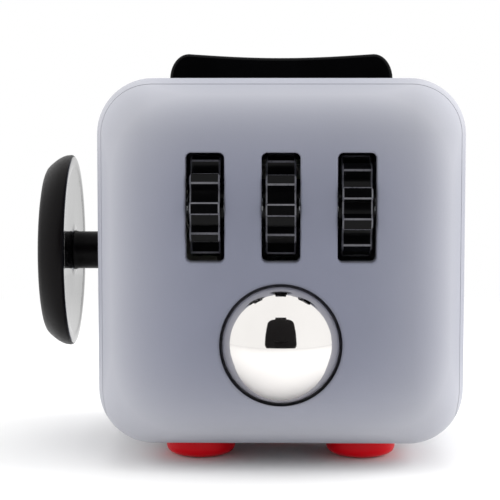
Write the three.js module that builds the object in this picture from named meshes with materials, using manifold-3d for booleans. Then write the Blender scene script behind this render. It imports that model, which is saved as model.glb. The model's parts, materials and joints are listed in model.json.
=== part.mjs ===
// Fidget cube: a 33 mm desk toy with a different thing to press, roll, tilt, flip or spin on each face.
// Millimetres, +Z up. The cube stands on its five buttons, and the origin is the middle button's crown.
// Sub-parts are laid out about the cube's own centre, then the whole group is lifted into place.
import * as THREE from 'three';
import { RoundedBoxGeometry } from 'three/addons/geometries/RoundedBoxGeometry.js';
import { mergeVertices } from 'three/addons/utils/BufferGeometryUtils.js';
import Module from 'manifold-3d';

const wasm = await Module();
wasm.setup();

// ---------------------------------------------------------------- driving dimensions
const CUBE = 33;
const HALF = CUBE / 2;
const EDGE_RADIUS = 5;
const WALL = 2;
const INNER = HALF - WALL;

const SEAM_FROM_FRONT = 2.7;
const SEAM_FROM_BOTTOM = 2.3;
const SEAM_GAP = 0.15;
const SEAM_CORNER = 2;

const BUTTON_RADIUS = 3.2;
const BUTTON_HOLE = 3.4;
const BUTTON_PITCH = 7.45;
const BUTTON_PROUD = 1.9;
const BUTTON_CROWN = 1.6;
const FLANGE_RADIUS = 3.9;
const PLATE_LOW = -11.4;
const PLATE_HIGH = -10.4;

const WHEEL_RADIUS = 4.5;
const WHEEL_ROOT = 3.6;
const WHEEL_TEETH = 10;
const WHEEL_WIDTH = 2.65;
const WHEEL_PITCH = 6.65;
const WHEEL_Y = -13.1;
const WHEEL_Z = 5.2;
const AXLE_RADIUS = 1;
const AXLE_PLAY = 0.12;
const SLOT_WIDTH = 3.4;
const SLOT_HEIGHT = 9.6;

const BALL_RADIUS = 6;
const BALL_SOCKET = 6.2;
const BALL_Y = -13.4;
const BALL_Z = -6.9;

const CAP_RADIUS = 9.2;
const CAP_LIFT = 3.5;
const CAP_THICKNESS = 2.6;
const STEM_RADIUS = 1.8;
const STEM_HOLE = 3.7;
const PIVOT_X = -11.9;
const RING_RADIUS = 4.2;

const ROCKER_HALF_LENGTH = 10.4;
const ROCKER_HALF_WIDTH = 4.7;
const ROCKER_PROUD = 2.3;
const ROCKER_SAG = 0.37;
const ROCKER_NOSE = 1.75;
const ROCKER_PIVOT = 13.9;
const OPENING_LENGTH = 22.4;
const OPENING_WIDTH = 10.8;

const DIAL_RADIUS = 9.5;
const DIAL_OPENING = 9.7;
const DIAL_DOME = 1.8;
const NUB_RADIUS = 1.3;
const NUB_X = -3;
const NUB_Z = -6.4;

const DISH_HALF_WIDTH = 8;
const DISH_HALF_HEIGHT = 10.9;
const DISH_DEPTH = 1.2;

// Allowances: between faces that bear on each other, under a screw head, how far a boss runs into
// its wall, and how far a cutting tool passes the surface that it opens.
const REST_GAP = 0.05;
const HEAD_GAP = 0.03;
const ROOT = 0.5;
const PAST = 0.1;
const CLEAR = 1;

const BOSS_RADIUS = 1.6;
const FLANGE_THICK = 1.1;
const LEAF_THICK = 0.3;
const PIN_RADIUS = 0.55;
const PIN_BORE = 0.72;
const ROCKER_PIN = 0.8;

const SCREW_SHANK = 0.6;
const SCREW_HEAD = 1.15;
const SCREW_HOLE = 0.75;

// ---------------------------------------------------------------- materials
function plastic(color, roughness) {
  return new THREE.MeshStandardMaterial({ color, roughness, metalness: 0 });
}

function metal(color, roughness) {
  return new THREE.MeshStandardMaterial({ color, roughness, metalness: 1 });
}

const shellGrey = plastic(0x8f919e, 0.7);
const blackAbs = plastic(0x101012, 0.45);
const redAbs = plastic(0xc4021a, 0.35);
const innerAbs = plastic(0xc9c8c2, 0.6);
const silicone = plastic(0x8a8f94, 0.9);
const chromedSteel = metal(0xdfe2e6, 0.08);
const springSteel = metal(0xb8bbc0, 0.3);

// ---------------------------------------------------------------- solids
function solidOf(geometry) {
  const bare = geometry.clone();
  bare.deleteAttribute('normal');
  bare.deleteAttribute('uv');
  const merged = mergeVertices(bare, 1e-4);
  return new wasm.Manifold(new wasm.Mesh({
    numProp: 3,
    vertProperties: merged.attributes.position.array,
    triVerts: new Uint32Array(merged.index.array),
  }));
}

function geometryOf(solid) {
  const mesh = solid.getMesh();
  const indexed = new THREE.BufferGeometry();
  indexed.setAttribute('position', new THREE.BufferAttribute(mesh.vertProperties, 3));
  indexed.setIndex(new THREE.BufferAttribute(mesh.triVerts, 1));
  const geometry = indexed.toNonIndexed();
  geometry.computeVertexNormals();
  return geometry;
}

function join(solids) {
  return solids.reduce((sum, solid) => sum.add(solid));
}

function cut(solid, tools) {
  return tools.reduce((rest, tool) => rest.subtract(tool), solid);
}

// Turns a geometry made along +Z so that it points along the named direction.
function facing(geometry, direction) {
  if (direction === '+X') return geometry.rotateY(Math.PI / 2);
  if (direction === '-X') return geometry.rotateY(-Math.PI / 2);
  if (direction === '+Y') return geometry.rotateX(-Math.PI / 2);
  if (direction === '-Y') return geometry.rotateX(Math.PI / 2);
  if (direction === '-Z') return geometry.rotateX(Math.PI);
  return geometry;
}

// A turned piece: profile points are [radius, height along the direction].
function turned(profile, segments, direction = '+Z', at = [0, 0, 0]) {
  const points = profile.map(([radius, height]) => new THREE.Vector2(radius, height));
  const geometry = new THREE.LatheGeometry(points, segments).rotateX(Math.PI / 2);
  return solidOf(facing(geometry, direction).translate(...at));
}

function rod(radius, from, to, direction, at = [0, 0, 0], segments = 16) {
  return turned([[0, from], [radius, from], [radius, to], [0, to]], segments, direction, at);
}

function tube(inner, outer, from, to, direction, at = [0, 0, 0], segments = 24) {
  const profile = [[inner, from], [outer, from], [outer, to], [inner, to], [inner, from]];
  return turned(profile, segments, direction, at);
}

function block(x, y, z) {
  const geometry = new THREE.BoxGeometry(x[1] - x[0], y[1] - y[0], z[1] - z[0]);
  geometry.translate((x[0] + x[1]) / 2, (y[0] + y[1]) / 2, (z[0] + z[1]) / 2);
  return solidOf(geometry);
}

function roundedRectangle(width, height, radius) {
  const x = width / 2;
  const y = height / 2;
  const shape = new THREE.Shape();
  shape.moveTo(x, -y + radius);
  shape.absarc(x - radius, y - radius, radius, 0, Math.PI / 2);
  shape.absarc(-x + radius, y - radius, radius, Math.PI / 2, Math.PI);
  shape.absarc(-x + radius, -y + radius, radius, Math.PI, Math.PI * 1.5);
  shape.absarc(x - radius, -y + radius, radius, Math.PI * 1.5, Math.PI * 2);
  return shape;
}

function prism(shape, from, to, curveSegments = 3) {
  const geometry = new THREE.ExtrudeGeometry(shape, {
    depth: to - from, bevelEnabled: false, curveSegments,
  });
  return geometry.translate(0, 0, from);
}

// A prism along X whose section is drawn in (y, z).
function prismAlongX(shape, from, to, curveSegments = 3) {
  const turn = new THREE.Matrix4().makeBasis(
    new THREE.Vector3(0, 1, 0), new THREE.Vector3(0, 0, 1), new THREE.Vector3(1, 0, 0),
  );
  return solidOf(prism(shape, from, to, curveSegments).applyMatrix4(turn));
}

// A prism along Y whose section is drawn in (x, z).
function prismAlongY(shape, from, to, curveSegments = 3) {
  return solidOf(prism(shape, -to, -from, curveSegments).rotateX(Math.PI / 2));
}

function polygon(points) {
  return new THREE.Shape(points.map(([x, y]) => new THREE.Vector2(x, y)));
}

class Coil extends THREE.Curve {
  constructor(radius, from, to, turns) {
    super();
    Object.assign(this, { radius, from, to, turns });
  }

  getPoint(t, target = new THREE.Vector3()) {
    const angle = t * this.turns * Math.PI * 2;
    const height = this.from + t * (this.to - this.from);
    return target.set(this.radius * Math.cos(angle), this.radius * Math.sin(angle), height);
  }
}

// A compression spring between two heights along the direction, wire ends included.
function spring(radius, wire, from, to, turns, direction, at) {
  const section = polygon([[wire, 0], [0, wire], [-wire, 0], [0, -wire]]);
  const path = new Coil(radius, from + wire, to - wire, turns);
  const geometry = new THREE.ExtrudeGeometry(section, {
    steps: turns * 8, bevelEnabled: false, extrudePath: path,
  });
  return solidOf(facing(geometry, direction).translate(...at));
}

// A pan-head screw whose head bears on a surface at the given point, driven against the direction.
function screw(length, direction, at) {
  const profile = [[0, -length], [SCREW_SHANK, -length], [SCREW_SHANK, 0], [SCREW_HEAD, 0],
    [SCREW_HEAD, 0.4], [0.8, 0.75], [0, 0.75]];
  return turned(profile, 8, direction, at);
}

// ---------------------------------------------------------------- the scene graph
const cube = new THREE.Group();
cube.position.z = BUTTON_PROUD + HALF;

function place(name, solid, material) {
  const mesh = new THREE.Mesh(geometryOf(solid), material);
  mesh.name = name;
  cube.add(mesh);
}

// ---------------------------------------------------------------- the two shell mouldings
function shellBlank() {
  const outer = solidOf(new RoundedBoxGeometry(CUBE, CUBE, CUBE, 3, EDGE_RADIUS));
  const side = INNER * 2;
  const inner = solidOf(new RoundedBoxGeometry(side, side, side, 2, EDGE_RADIUS - WALL));
  return outer.subtract(inner);
}

// The L-shaped zone of the front and bottom faces, grown by an allowance for the seam's gap.
function coverZone(allowance) {
  const y = -HALF + SEAM_FROM_FRONT + allowance;
  const z = -HALF + SEAM_FROM_BOTTOM + allowance;
  const far = HALF + 5;
  const shape = new THREE.Shape();
  shape.moveTo(-far, -far);
  shape.lineTo(far, -far);
  shape.lineTo(far, z);
  shape.lineTo(y + SEAM_CORNER, z);
  shape.absarc(y + SEAM_CORNER, z + SEAM_CORNER, SEAM_CORNER, -Math.PI / 2, -Math.PI, true);
  shape.lineTo(y, far);
  shape.lineTo(-far, far);
  return prismAlongX(shape, -far, far, 5);
}

const BUTTON_PLACES = [
  [0, 0], [-BUTTON_PITCH, -BUTTON_PITCH], [BUTTON_PITCH, -BUTTON_PITCH],
  [-BUTTON_PITCH, BUTTON_PITCH], [BUTTON_PITCH, BUTTON_PITCH],
];
const PLATE_SCREWS = [[-11.5, 0], [11.5, 0], [0, 11.5]];
const WHEEL_PLACES = [-WHEEL_PITCH, 0, WHEEL_PITCH];
const LEAF_SCREWS = [-WHEEL_PITCH / 2, WHEEL_PITCH / 2];
const OUTER_POST_X = 9.6;
const LEAF_Y = -8.4;
const BALL_SCREW_X = 7.6;
const BALL_FLANGE_Y = -7.6;

function wheelPosts() {
  const inner = LEAF_SCREWS.map((x) => block([x - 1.3, x + 1.3], [-INNER - ROOT, LEAF_Y - REST_GAP],
    [WHEEL_Z - 1.9, WHEEL_Z + 1.9]));
  const outer = [-OUTER_POST_X, OUTER_POST_X].map((x) => block([x - 0.8, x + 0.8],
    [-INNER - ROOT, WHEEL_Y + 2], [WHEEL_Z - 1.9, WHEEL_Z + 1.9]));
  return [...inner, ...outer];
}

// Tabs on the cover that slip inside the main shell's side walls and locate it.
function coverTabs() {
  const slip = 0.15;
  const side = (INNER - slip) * 2;
  const room = solidOf(new RoundedBoxGeometry(side, side, side, 2, EDGE_RADIUS - WALL - slip));
  const tabs = [];
  for (const z of [-8, 10]) {
    const height = [z - 1.4, z + 1.4];
    const tab = join([
      block([10.9, INNER], [-INNER, -12.2], height).intersect(room),
      block([10.9, 11.6], [-INNER - ROOT, -INNER + 0.6], height),
    ]);
    tabs.push(tab, tab.mirror([1, 0, 0]));
  }
  return tabs;
}

function cornerCover() {
  const solid = join([
    shellBlank().intersect(coverZone(0)),
    ...wheelPosts(),
    ...coverTabs(),
    ...[-BALL_SCREW_X, BALL_SCREW_X].map((x) => rod(1.5, -INNER - ROOT, BALL_FLANGE_Y - REST_GAP, '+Y',
      [x, 0, BALL_Z], 12)),
    ...PLATE_SCREWS.map(([x, y]) => rod(BOSS_RADIUS, -INNER - ROOT, PLATE_LOW - REST_GAP, '+Z',
      [x, y, 0], 12)),
  ]);
  const slot = roundedRectangle(SLOT_WIDTH, SLOT_HEIGHT, 0.5);
  return cut(solid, [
    ...WHEEL_PLACES.map((x) => prismAlongY(slot, -HALF - CLEAR, -INNER + PAST).translate([x, 0, WHEEL_Z])),
    solidOf(new THREE.SphereGeometry(BALL_SOCKET, 24, 14).translate(0, BALL_Y, BALL_Z)),
    ...BUTTON_PLACES.map(([x, y]) => rod(BUTTON_HOLE, -HALF - CLEAR, -INNER + PAST, '+Z', [x, y, 0], 24)),
    rod(AXLE_RADIUS + AXLE_PLAY, -12, 12, '+X', [0, WHEEL_Y, WHEEL_Z]),
    ...LEAF_SCREWS.map((x) => rod(SCREW_HOLE, -11.2, -8, '+Y', [x, 0, WHEEL_Z], 10)),
    ...[-BALL_SCREW_X, BALL_SCREW_X].map((x) => rod(SCREW_HOLE, -11, -7, '+Y', [x, 0, BALL_Z], 10)),
    ...PLATE_SCREWS.map(([x, y]) => rod(SCREW_HOLE, -14, -11, '+Z', [x, y, 0], 10)),
  ]);
}

const STICK_SCREW_Y = 7.5;
const STICK_FLANGE_X = -12.1;
const TRACK_SCREW_Y = 7.1;
const TRACK_TOP = 8.5;
const TRACK_LOW = 7.3;
const POCKET_FLOOR = 14.4;
const POCKET_BACK = 13;

function dishTool() {
  const profile = [[0, -DISH_DEPTH], [0.45, -DISH_DEPTH * 0.95], [0.72, -DISH_DEPTH * 0.78],
    [0.86, -DISH_DEPTH * 0.5], [1, 0], [1.1, 0.6], [0, 0.6]];
  const geometry = new THREE.LatheGeometry(profile.map(([r, h]) => new THREE.Vector2(r, h)), 32);
  geometry.scale(DISH_HALF_HEIGHT, 1, DISH_HALF_WIDTH).rotateX(Math.PI / 2);
  return solidOf(facing(geometry, '+X').translate(HALF, 0, 0));
}

function dishBacking() {
  const geometry = new THREE.CylinderGeometry(1, 1, 1.2, 24);
  geometry.scale(DISH_HALF_HEIGHT + 0.5, 1, DISH_HALF_WIDTH + 0.5).rotateX(Math.PI / 2);
  return solidOf(facing(geometry, '+X').translate(INNER - 0.3, 0, 0));
}

function rockerWell() {
  const walls = [-1, 1].map((side) => {
    const edges = [side * 5.4, side * 6.4].sort((a, b) => a - b);
    return block([-6, 6], edges, [10, INNER + ROOT]);
  });
  const bosses = [-TRACK_SCREW_Y, TRACK_SCREW_Y].map((y) => rod(1.25, TRACK_TOP + REST_GAP, INNER + ROOT,
    '+Z', [0, y, 0], 12));
  return [...walls, ...bosses];
}

function mainShell() {
  const solid = join([
    shellBlank().subtract(coverZone(SEAM_GAP)),
    dishBacking(),
    ...rockerWell(),
    rod(DIAL_OPENING + 1.2, POCKET_BACK, INNER + ROOT, '+Y', [0, 0, 0], 32),
    ...[-STICK_SCREW_Y, STICK_SCREW_Y].map((y) => rod(BOSS_RADIUS, -INNER - ROOT, STICK_FLANGE_X - REST_GAP,
      '+X', [0, y, 0], 12)),
  ]);
  const opening = roundedRectangle(OPENING_LENGTH, OPENING_WIDTH, 0.55);
  return cut(solid, [
    dishTool(),
    solidOf(prism(opening, INNER - PAST, HALF + CLEAR)),
    rod(ROCKER_PIN + 0.1, -8, 8, '+Y', [0, 0, ROCKER_PIVOT], 12),
    rod(DIAL_OPENING, POCKET_FLOOR, HALF + CLEAR, '+Y', [0, 0, 0], 40),
    rod(2.7, POCKET_BACK - 1, HALF, '+Y', [0, 0, 0], 20),
    rod(STEM_HOLE, -HALF - CLEAR, -INNER + PAST, '+X', [0, 0, 0], 24),
    ...[-TRACK_SCREW_Y, TRACK_SCREW_Y].map((y) => rod(SCREW_HOLE, 8, 11.5, '+Z', [0, y, 0], 10)),
    ...[-STICK_SCREW_Y, STICK_SCREW_Y].map((y) => rod(SCREW_HOLE, -15, -12, '+X', [0, y, 0], 10)),
  ]);
}

// ---------------------------------------------------------------- click and silent buttons (bottom face)
const BUTTON_TRAVEL = 1.05;
const FLANGE_LOW = -INNER + 0.1;
const FLANGE_HIGH = FLANGE_LOW + 0.7;
const DOME_LOW = -11.8;

function buttonCap(x, y) {
  const base = -HALF - BUTTON_PROUD;
  const postTop = DOME_LOW - BUTTON_TRAVEL - 0.05;
  return turned([
    [0, base], [BUTTON_CROWN, base], [2.5, base + 0.2], [2.95, base + 0.65], [BUTTON_RADIUS, base + 1.3],
    [BUTTON_RADIUS, FLANGE_LOW], [FLANGE_RADIUS, FLANGE_LOW], [FLANGE_RADIUS, FLANGE_HIGH],
    [0.9, FLANGE_HIGH], [0.9, postTop], [0, postTop],
  ], 20, '+Z', [x, y, 0]);
}

function buttonPlate() {
  const outline = roundedRectangle(27, 24.8, 3.6);
  const solid = solidOf(prism(outline, PLATE_LOW, PLATE_HIGH)).translate([0, 0.4, 0]);
  return cut(solid, [
    rod(5.6, PLATE_LOW - 1, PLATE_HIGH + 1, '+Z', [0, -12.9, 0], 24),
    block([-2.4, 2.4], [-14, -3.6], [PLATE_LOW - 1, PLATE_HIGH + 1]),
    ...PLATE_SCREWS.map(([x, y]) => rod(SCREW_HOLE, PLATE_LOW - 1, PLATE_HIGH + 1, '+Z', [x, y, 0], 10)),
  ]);
}

const CLICKING = 3;
BUTTON_PLACES.forEach(([x, y], index) => {
  const number = index + 1;
  place(`button_cap_${number}`, buttonCap(x, y), redAbs);
  const coil = spring(2.2, 0.17, FLANGE_HIGH + REST_GAP, PLATE_LOW - REST_GAP, 3, '+Z', [x, y, 0]);
  place(`button_spring_${number}`, coil, springSteel);
  if (index < CLICKING) {
    const dome = [[0, DOME_LOW], [0.8, DOME_LOW + 0.05], [1.6, PLATE_LOW - 0.12], [1.6, PLATE_LOW - REST_GAP],
      [0, PLATE_LOW - REST_GAP]];
    place(`snap_dome_${number}`, turned(dome, 14, '+Z', [x, y, 0]), springSteel);
  } else {
    place(`silent_pad_${number}`, rod(1.4, DOME_LOW, PLATE_LOW - REST_GAP, '+Z', [x, y, 0], 14), silicone);
  }
});
place('button_plate', buttonPlate(), innerAbs);
PLATE_SCREWS.forEach(([x, y], index) => {
  place(`plate_screw_${index + 1}`, screw(2.8, '+Z', [x, y, PLATE_HIGH + HEAD_GAP]), springSteel);
});

// ---------------------------------------------------------------- toothed wheels (front face)
function wheel(x, phase) {
  const pitch = (Math.PI * 2) / WHEEL_TEETH;
  const points = [];
  for (let tooth = 0; tooth < WHEEL_TEETH; tooth += 1) {
    const middle = (tooth + phase) * pitch;
    for (const [angle, radius] of [[-0.5, WHEEL_ROOT], [-0.29, WHEEL_ROOT], [-0.17, WHEEL_RADIUS],
      [0.17, WHEEL_RADIUS], [0.29, WHEEL_ROOT]]) {
      const at = middle + angle * pitch;
      points.push([radius * Math.cos(at), radius * Math.sin(at)]);
    }
  }
  const body = prismAlongX(polygon(points), x - WHEEL_WIDTH / 2, x + WHEEL_WIDTH / 2);
  const hub = rod(1.9, -WHEEL_WIDTH / 2 - 0.25, WHEEL_WIDTH / 2 + 0.25, '+X', [x, 0, 0], 20);
  const bore = rod(AXLE_RADIUS + AXLE_PLAY, x - 5, x + 5, '+X');
  return body.add(hub).subtract(bore).translate([0, WHEEL_Y, WHEEL_Z]);
}

// Tooth phase of each wheel at rest, in pitches: the last one has stopped between two ridges.
const WHEEL_PHASES = [0, 0.05, 0.5];
WHEEL_PLACES.forEach((x, index) => {
  place(`toothed_wheel_${index + 1}`, wheel(x, WHEEL_PHASES[index]), blackAbs);
});
place('wheel_axle', rod(AXLE_RADIUS, -10.6, 10.6, '+X', [0, WHEEL_Y, WHEEL_Z]), springSteel);

function detentLeaf() {
  const strip = block([-8, 8], [LEAF_Y, LEAF_Y + LEAF_THICK], [WHEEL_Z - 1.2, WHEEL_Z + 1.2]);
  const fingers = WHEEL_PLACES.map((x) => block([x - 0.8, x + 0.8], [LEAF_Y, LEAF_Y + LEAF_THICK],
    [WHEEL_Z - 3.6, WHEEL_Z]));
  const holes = LEAF_SCREWS.map((x) => rod(SCREW_HOLE, -12, -6, '+Y', [x, 0, WHEEL_Z], 10));
  return cut(join([strip, ...fingers]), holes);
}

place('wheel_detent_leaf', detentLeaf(), springSteel);
LEAF_SCREWS.forEach((x, index) => {
  const seat = LEAF_Y + LEAF_THICK + HEAD_GAP;
  place(`leaf_screw_${index + 1}`, screw(2.6, '+Y', [x, seat, WHEEL_Z]), springSteel);
});

// ---------------------------------------------------------------- rolling ball (front face)
const BALL_AT = [0, 0, BALL_Z];
const CUP_SPHERE = 6.12;
const CUP_BACK = -6;
const PRESS_TRAVEL = 0.8;

function ballCup() {
  const dished = (radius) => BALL_Y + Math.sqrt(CUP_SPHERE ** 2 - radius ** 2);
  return turned([
    [0, dished(0)], [1.5, dished(1.5)], [2.4, dished(2.4)], [3, dished(3)], [3, CUP_BACK],
    [0.8, CUP_BACK], [0.8, CUP_BACK + 1], [0, CUP_BACK + 1],
  ], 20, '+Y', BALL_AT);
}

function ballHousing() {
  const flange = block([-9.2, 9.2], [BALL_FLANGE_Y, BALL_FLANGE_Y + FLANGE_THICK],
    [BALL_Z - 1.6, BALL_Z + 1.6]);
  const solid = join([
    flange,
    rod(4, BALL_FLANGE_Y, -3.6, '+Y', BALL_AT, 24),
    rod(2.8, -3.8, -0.8, '+Y', BALL_AT, 20),
  ]);
  return cut(solid, [
    rod(3.3, BALL_FLANGE_Y - 1, -4.2, '+Y', BALL_AT, 24),
    rod(2, -4.5, -1.6, '+Y', BALL_AT, 20),
    ...[-BALL_SCREW_X, BALL_SCREW_X].map((x) => rod(SCREW_HOLE, -9, -5, '+Y', [x, 0, BALL_Z], 10)),
    solidOf(new THREE.SphereGeometry(BALL_SOCKET, 24, 14).translate(0, BALL_Y + PRESS_TRAVEL, BALL_Z)),
  ]);
}

place('steel_ball', solidOf(new THREE.SphereGeometry(BALL_RADIUS, 24, 16)
  .translate(0, BALL_Y, BALL_Z)), chromedSteel);
place('ball_cup', ballCup(), innerAbs);
place('ball_plunger', tube(1, 3, CUP_BACK + 0.04, CUP_BACK + 0.9, '+Y', BALL_AT), innerAbs);
place('ball_spring', spring(1.55, 0.2, CUP_BACK + 1.05, -2.5, 3, '+Y', BALL_AT), springSteel);
place('ball_housing', ballHousing(), innerAbs);
[-BALL_SCREW_X, BALL_SCREW_X].forEach((x, index) => {
  const seat = BALL_FLANGE_Y + FLANGE_THICK + HEAD_GAP;
  place(`ball_screw_${index + 1}`, screw(3.2, '+Y', [x, seat, BALL_Z]), springSteel);
});

// ---------------------------------------------------------------- joystick (left face)
function joystickCap() {
  const low = HALF + CAP_LIFT;
  return turned([
    [0, low], [CAP_RADIUS - 0.25, low], [CAP_RADIUS, low + 0.32], [9.05, low + 1], [8.65, low + 1.7],
    [8.2, low + 2.25], [7.85, low + 2.55], [7.1, low + CAP_THICKNESS], [6.6, low + 2.2],
    [6.1, low + 1.9], [3, low + 1.82], [0, low + 1.8],
  ], 36, '-X');
}

function joystickStem() {
  const top = HALF + CAP_LIFT - 0.05;
  const foot = 9.4;
  return cut(turned([
    [0, foot], [2.3, foot], [2.3, foot + 0.6], [1.2, foot + 0.7], [1.2, 10.6], [STEM_RADIUS, 10.8],
    [STEM_RADIUS, top], [0, top],
  ], 20, '-X'), [rod(PIN_BORE, -4, 4, '+Z', [PIVOT_X, 0, 0], 12)]);
}

function gimbalRing() {
  const ring = tube(3, RING_RADIUS, PIVOT_X - 0.75, PIVOT_X + 0.75, '+X');
  const trunnions = [-1, 1].map((side) => {
    const ends = [side * 3.6, side * 5.3].sort((a, b) => a - b);
    return rod(PIN_RADIUS, ends[0], ends[1], '+Y', [PIVOT_X, 0, 0], 12);
  });
  return cut(join([ring, ...trunnions]), [rod(PIN_BORE, -5, 5, '+Z', [PIVOT_X, 0, 0], 12)]);
}

function joystickHousing() {
  const solid = join([
    rod(5.8, -14.3, -6, '+X', [0, 0, 0], 28),
    block([STICK_FLANGE_X, STICK_FLANGE_X + FLANGE_THICK], [-9.3, 9.3], [-1.7, 1.7]),
  ]);
  return cut(solid, [
    rod(4.7, -15, -6.9, '+X', [0, 0, 0], 28),
    rod(0.75, -7, 7, '+Y', [PIVOT_X, 0, 0], 12),
    ...[-STICK_SCREW_Y, STICK_SCREW_Y].map((y) => rod(SCREW_HOLE, -14, -9, '+X', [0, y, 0], 10)),
  ]);
}

place('joystick_cap', joystickCap(), blackAbs);
place('joystick_stem', joystickStem(), blackAbs);
place('gimbal_pin', rod(PIN_RADIUS, -3.9, 3.9, '+Z', [PIVOT_X, 0, 0], 12), springSteel);
place('gimbal_ring', gimbalRing(), innerAbs);
place('centring_cup', turned([[0, -8.7], [2.6, -8.7], [2.6, -8.2], [0, -8.2]], 20, '+X'), innerAbs);
place('centring_spring', spring(2.1, 0.22, -8.15, -6.95, 2, '+X', [0, 0, 0]), springSteel);
place('joystick_housing', joystickHousing(), innerAbs);
[-STICK_SCREW_Y, STICK_SCREW_Y].forEach((y, index) => {
  const seat = STICK_FLANGE_X + FLANGE_THICK + HEAD_GAP;
  place(`joystick_screw_${index + 1}`, screw(2.8, '+X', [seat, y, 0]), springSteel);
});

// ---------------------------------------------------------------- spinning dial (back face)
function domeHeight(radius) {
  return DIAL_DOME - 0.75 * (radius / DIAL_RADIUS) ** 2;
}

function dial() {
  const back = POCKET_FLOOR + 0.2;
  const disc = turned([
    [0, 11.7], [2.4, 11.7], [2.4, back], [DIAL_RADIUS, back], [DIAL_RADIUS, HALF + 0.55],
    [9.35, HALF + 0.85], [9, HALF + domeHeight(9)], [7, HALF + domeHeight(7)],
    [4, HALF + domeHeight(4)], [0, HALF + domeHeight(0)],
  ], 40, '+Y');
  const top = HALF + domeHeight(Math.hypot(NUB_X, NUB_Z)) + 0.6;
  const nub = turned([[0, HALF], [NUB_RADIUS, HALF], [NUB_RADIUS, top - 0.35], [1, top - 0.08],
    [0.5, top], [0, top]], 16, '+Y', [NUB_X, 0, NUB_Z]);
  return cut(disc.add(nub), [rod(SCREW_HOLE, 11, 14, '+Y', [0, 0, 0], 10)]);
}

place('dial', dial(), blackAbs);
place('dial_wave_washer', tube(2.8, 4.1, 12.35, 12.9, '+Y'), springSteel);
place('dial_washer', tube(SCREW_HOLE, 4.2, 11.3, 11.66, '+Y'), springSteel);
place('dial_screw', screw(2, '-Y', [0, 11.27, 0]), springSteel);

// ---------------------------------------------------------------- rocker (top face)
function rocker() {
  const top = HALF + ROCKER_PROUD;
  const low = 13.2;
  const side = new THREE.Shape();
  side.moveTo(-ROCKER_HALF_LENGTH, low);
  side.lineTo(ROCKER_HALF_LENGTH, low);
  const flat = ROCKER_HALF_LENGTH - ROCKER_NOSE;
  side.lineTo(ROCKER_HALF_LENGTH, HALF);
  side.quadraticCurveTo(ROCKER_HALF_LENGTH - 0.1, top, flat, top);
  side.quadraticCurveTo(0, top - ROCKER_SAG * 2, -flat, top);
  side.quadraticCurveTo(-ROCKER_HALF_LENGTH + 0.1, top, -ROCKER_HALF_LENGTH, HALF);
  const half = [[0, low - 1], [0, HALF], [0.15, top - 0.8], [0.3, top - 0.35], [0.6, top - 0.05],
    [1.1, top + 0.1]].map(([inset, z]) => [ROCKER_HALF_WIDTH - inset, z]);
  const mirrored = half.map(([y, z]) => [-y, z]).reverse();
  const across = prismAlongX(polygon([...half, ...mirrored]), -12, 12);
  const body = prismAlongY(side, -6, 6, 6).intersect(across);
  const lug = block([-2.4, 2.4], [-3.4, 3.4], [9.9, low + 0.5]);
  return cut(body.add(lug), [
    rod(ROCKER_PIN + 0.18, -8, 8, '+Y', [0, 0, ROCKER_PIVOT], 12),
    rod(1.45, 9, 12.3, '+Z', [0, 0, 0], 16),
  ]);
}

function rockerTrack() {
  const plate = block([-4, 4], [-8.35, 8.35], [TRACK_LOW, TRACK_TOP]);
  return cut(plate, [
    rod(5.55, -1.8, 1.8, '+Y', [0, 0, ROCKER_PIVOT], 40),
    ...[-TRACK_SCREW_Y, TRACK_SCREW_Y].map((y) => rod(SCREW_HOLE, 7, 9, '+Z', [0, y, 0], 10)),
  ]);
}

place('rocker', rocker(), blackAbs);
place('rocker_pin', rod(ROCKER_PIN, -7.6, 7.6, '+Y', [0, 0, ROCKER_PIVOT], 12), springSteel);
place('rocker_plunger', turned([[0, 8.5], [0.7, 8.7], [1.2, 9.3], [1.2, 10.3], [0, 10.3]], 14), innerAbs);
place('rocker_spring', spring(0.95, 0.16, 10.35, 12.25, 4, '+Z', [0, 0, 0]), springSteel);
place('rocker_track', rockerTrack(), innerAbs);
[-TRACK_SCREW_Y, TRACK_SCREW_Y].forEach((y, index) => {
  place(`track_screw_${index + 1}`, screw(2.6, '-Z', [0, y, TRACK_LOW - HEAD_GAP]), springSteel);
});

// ---------------------------------------------------------------- shells last, around it all
place('main_shell', mainShell(), shellGrey);
place('corner_cover', cornerCover(), shellGrey);

export default cube;
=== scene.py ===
"""Fidget cube: the visible mouldings, controls and steel ball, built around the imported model.

Shapes are worked out in millimetres about the cube's own centre and are turned into metres as each
mesh is made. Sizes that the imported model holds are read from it, and the rest are fields of each class.
"""

import json
import logging
import math
from dataclasses import dataclass
from enum import Enum
from typing import Callable, Iterable, Sequence

import bmesh
import bpy
from mathutils import Matrix, Vector


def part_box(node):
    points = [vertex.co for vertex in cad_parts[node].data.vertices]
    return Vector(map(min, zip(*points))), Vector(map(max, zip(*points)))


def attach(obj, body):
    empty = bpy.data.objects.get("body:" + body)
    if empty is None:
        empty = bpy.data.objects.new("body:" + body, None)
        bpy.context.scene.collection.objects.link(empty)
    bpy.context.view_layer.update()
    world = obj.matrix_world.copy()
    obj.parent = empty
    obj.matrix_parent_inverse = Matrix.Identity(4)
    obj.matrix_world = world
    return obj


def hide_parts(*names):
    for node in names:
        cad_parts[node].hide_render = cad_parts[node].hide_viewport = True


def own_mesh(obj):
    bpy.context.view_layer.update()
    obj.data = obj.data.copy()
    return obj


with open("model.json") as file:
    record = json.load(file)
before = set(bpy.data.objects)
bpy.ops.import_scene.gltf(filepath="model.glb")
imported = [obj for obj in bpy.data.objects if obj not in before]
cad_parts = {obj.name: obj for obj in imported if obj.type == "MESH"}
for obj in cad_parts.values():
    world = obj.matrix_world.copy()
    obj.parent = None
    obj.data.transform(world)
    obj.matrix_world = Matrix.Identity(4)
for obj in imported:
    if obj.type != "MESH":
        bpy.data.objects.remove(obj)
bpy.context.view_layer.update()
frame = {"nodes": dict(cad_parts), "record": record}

MM = 0.001
SMOOTH_ANGLE = math.radians(32)
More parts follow.
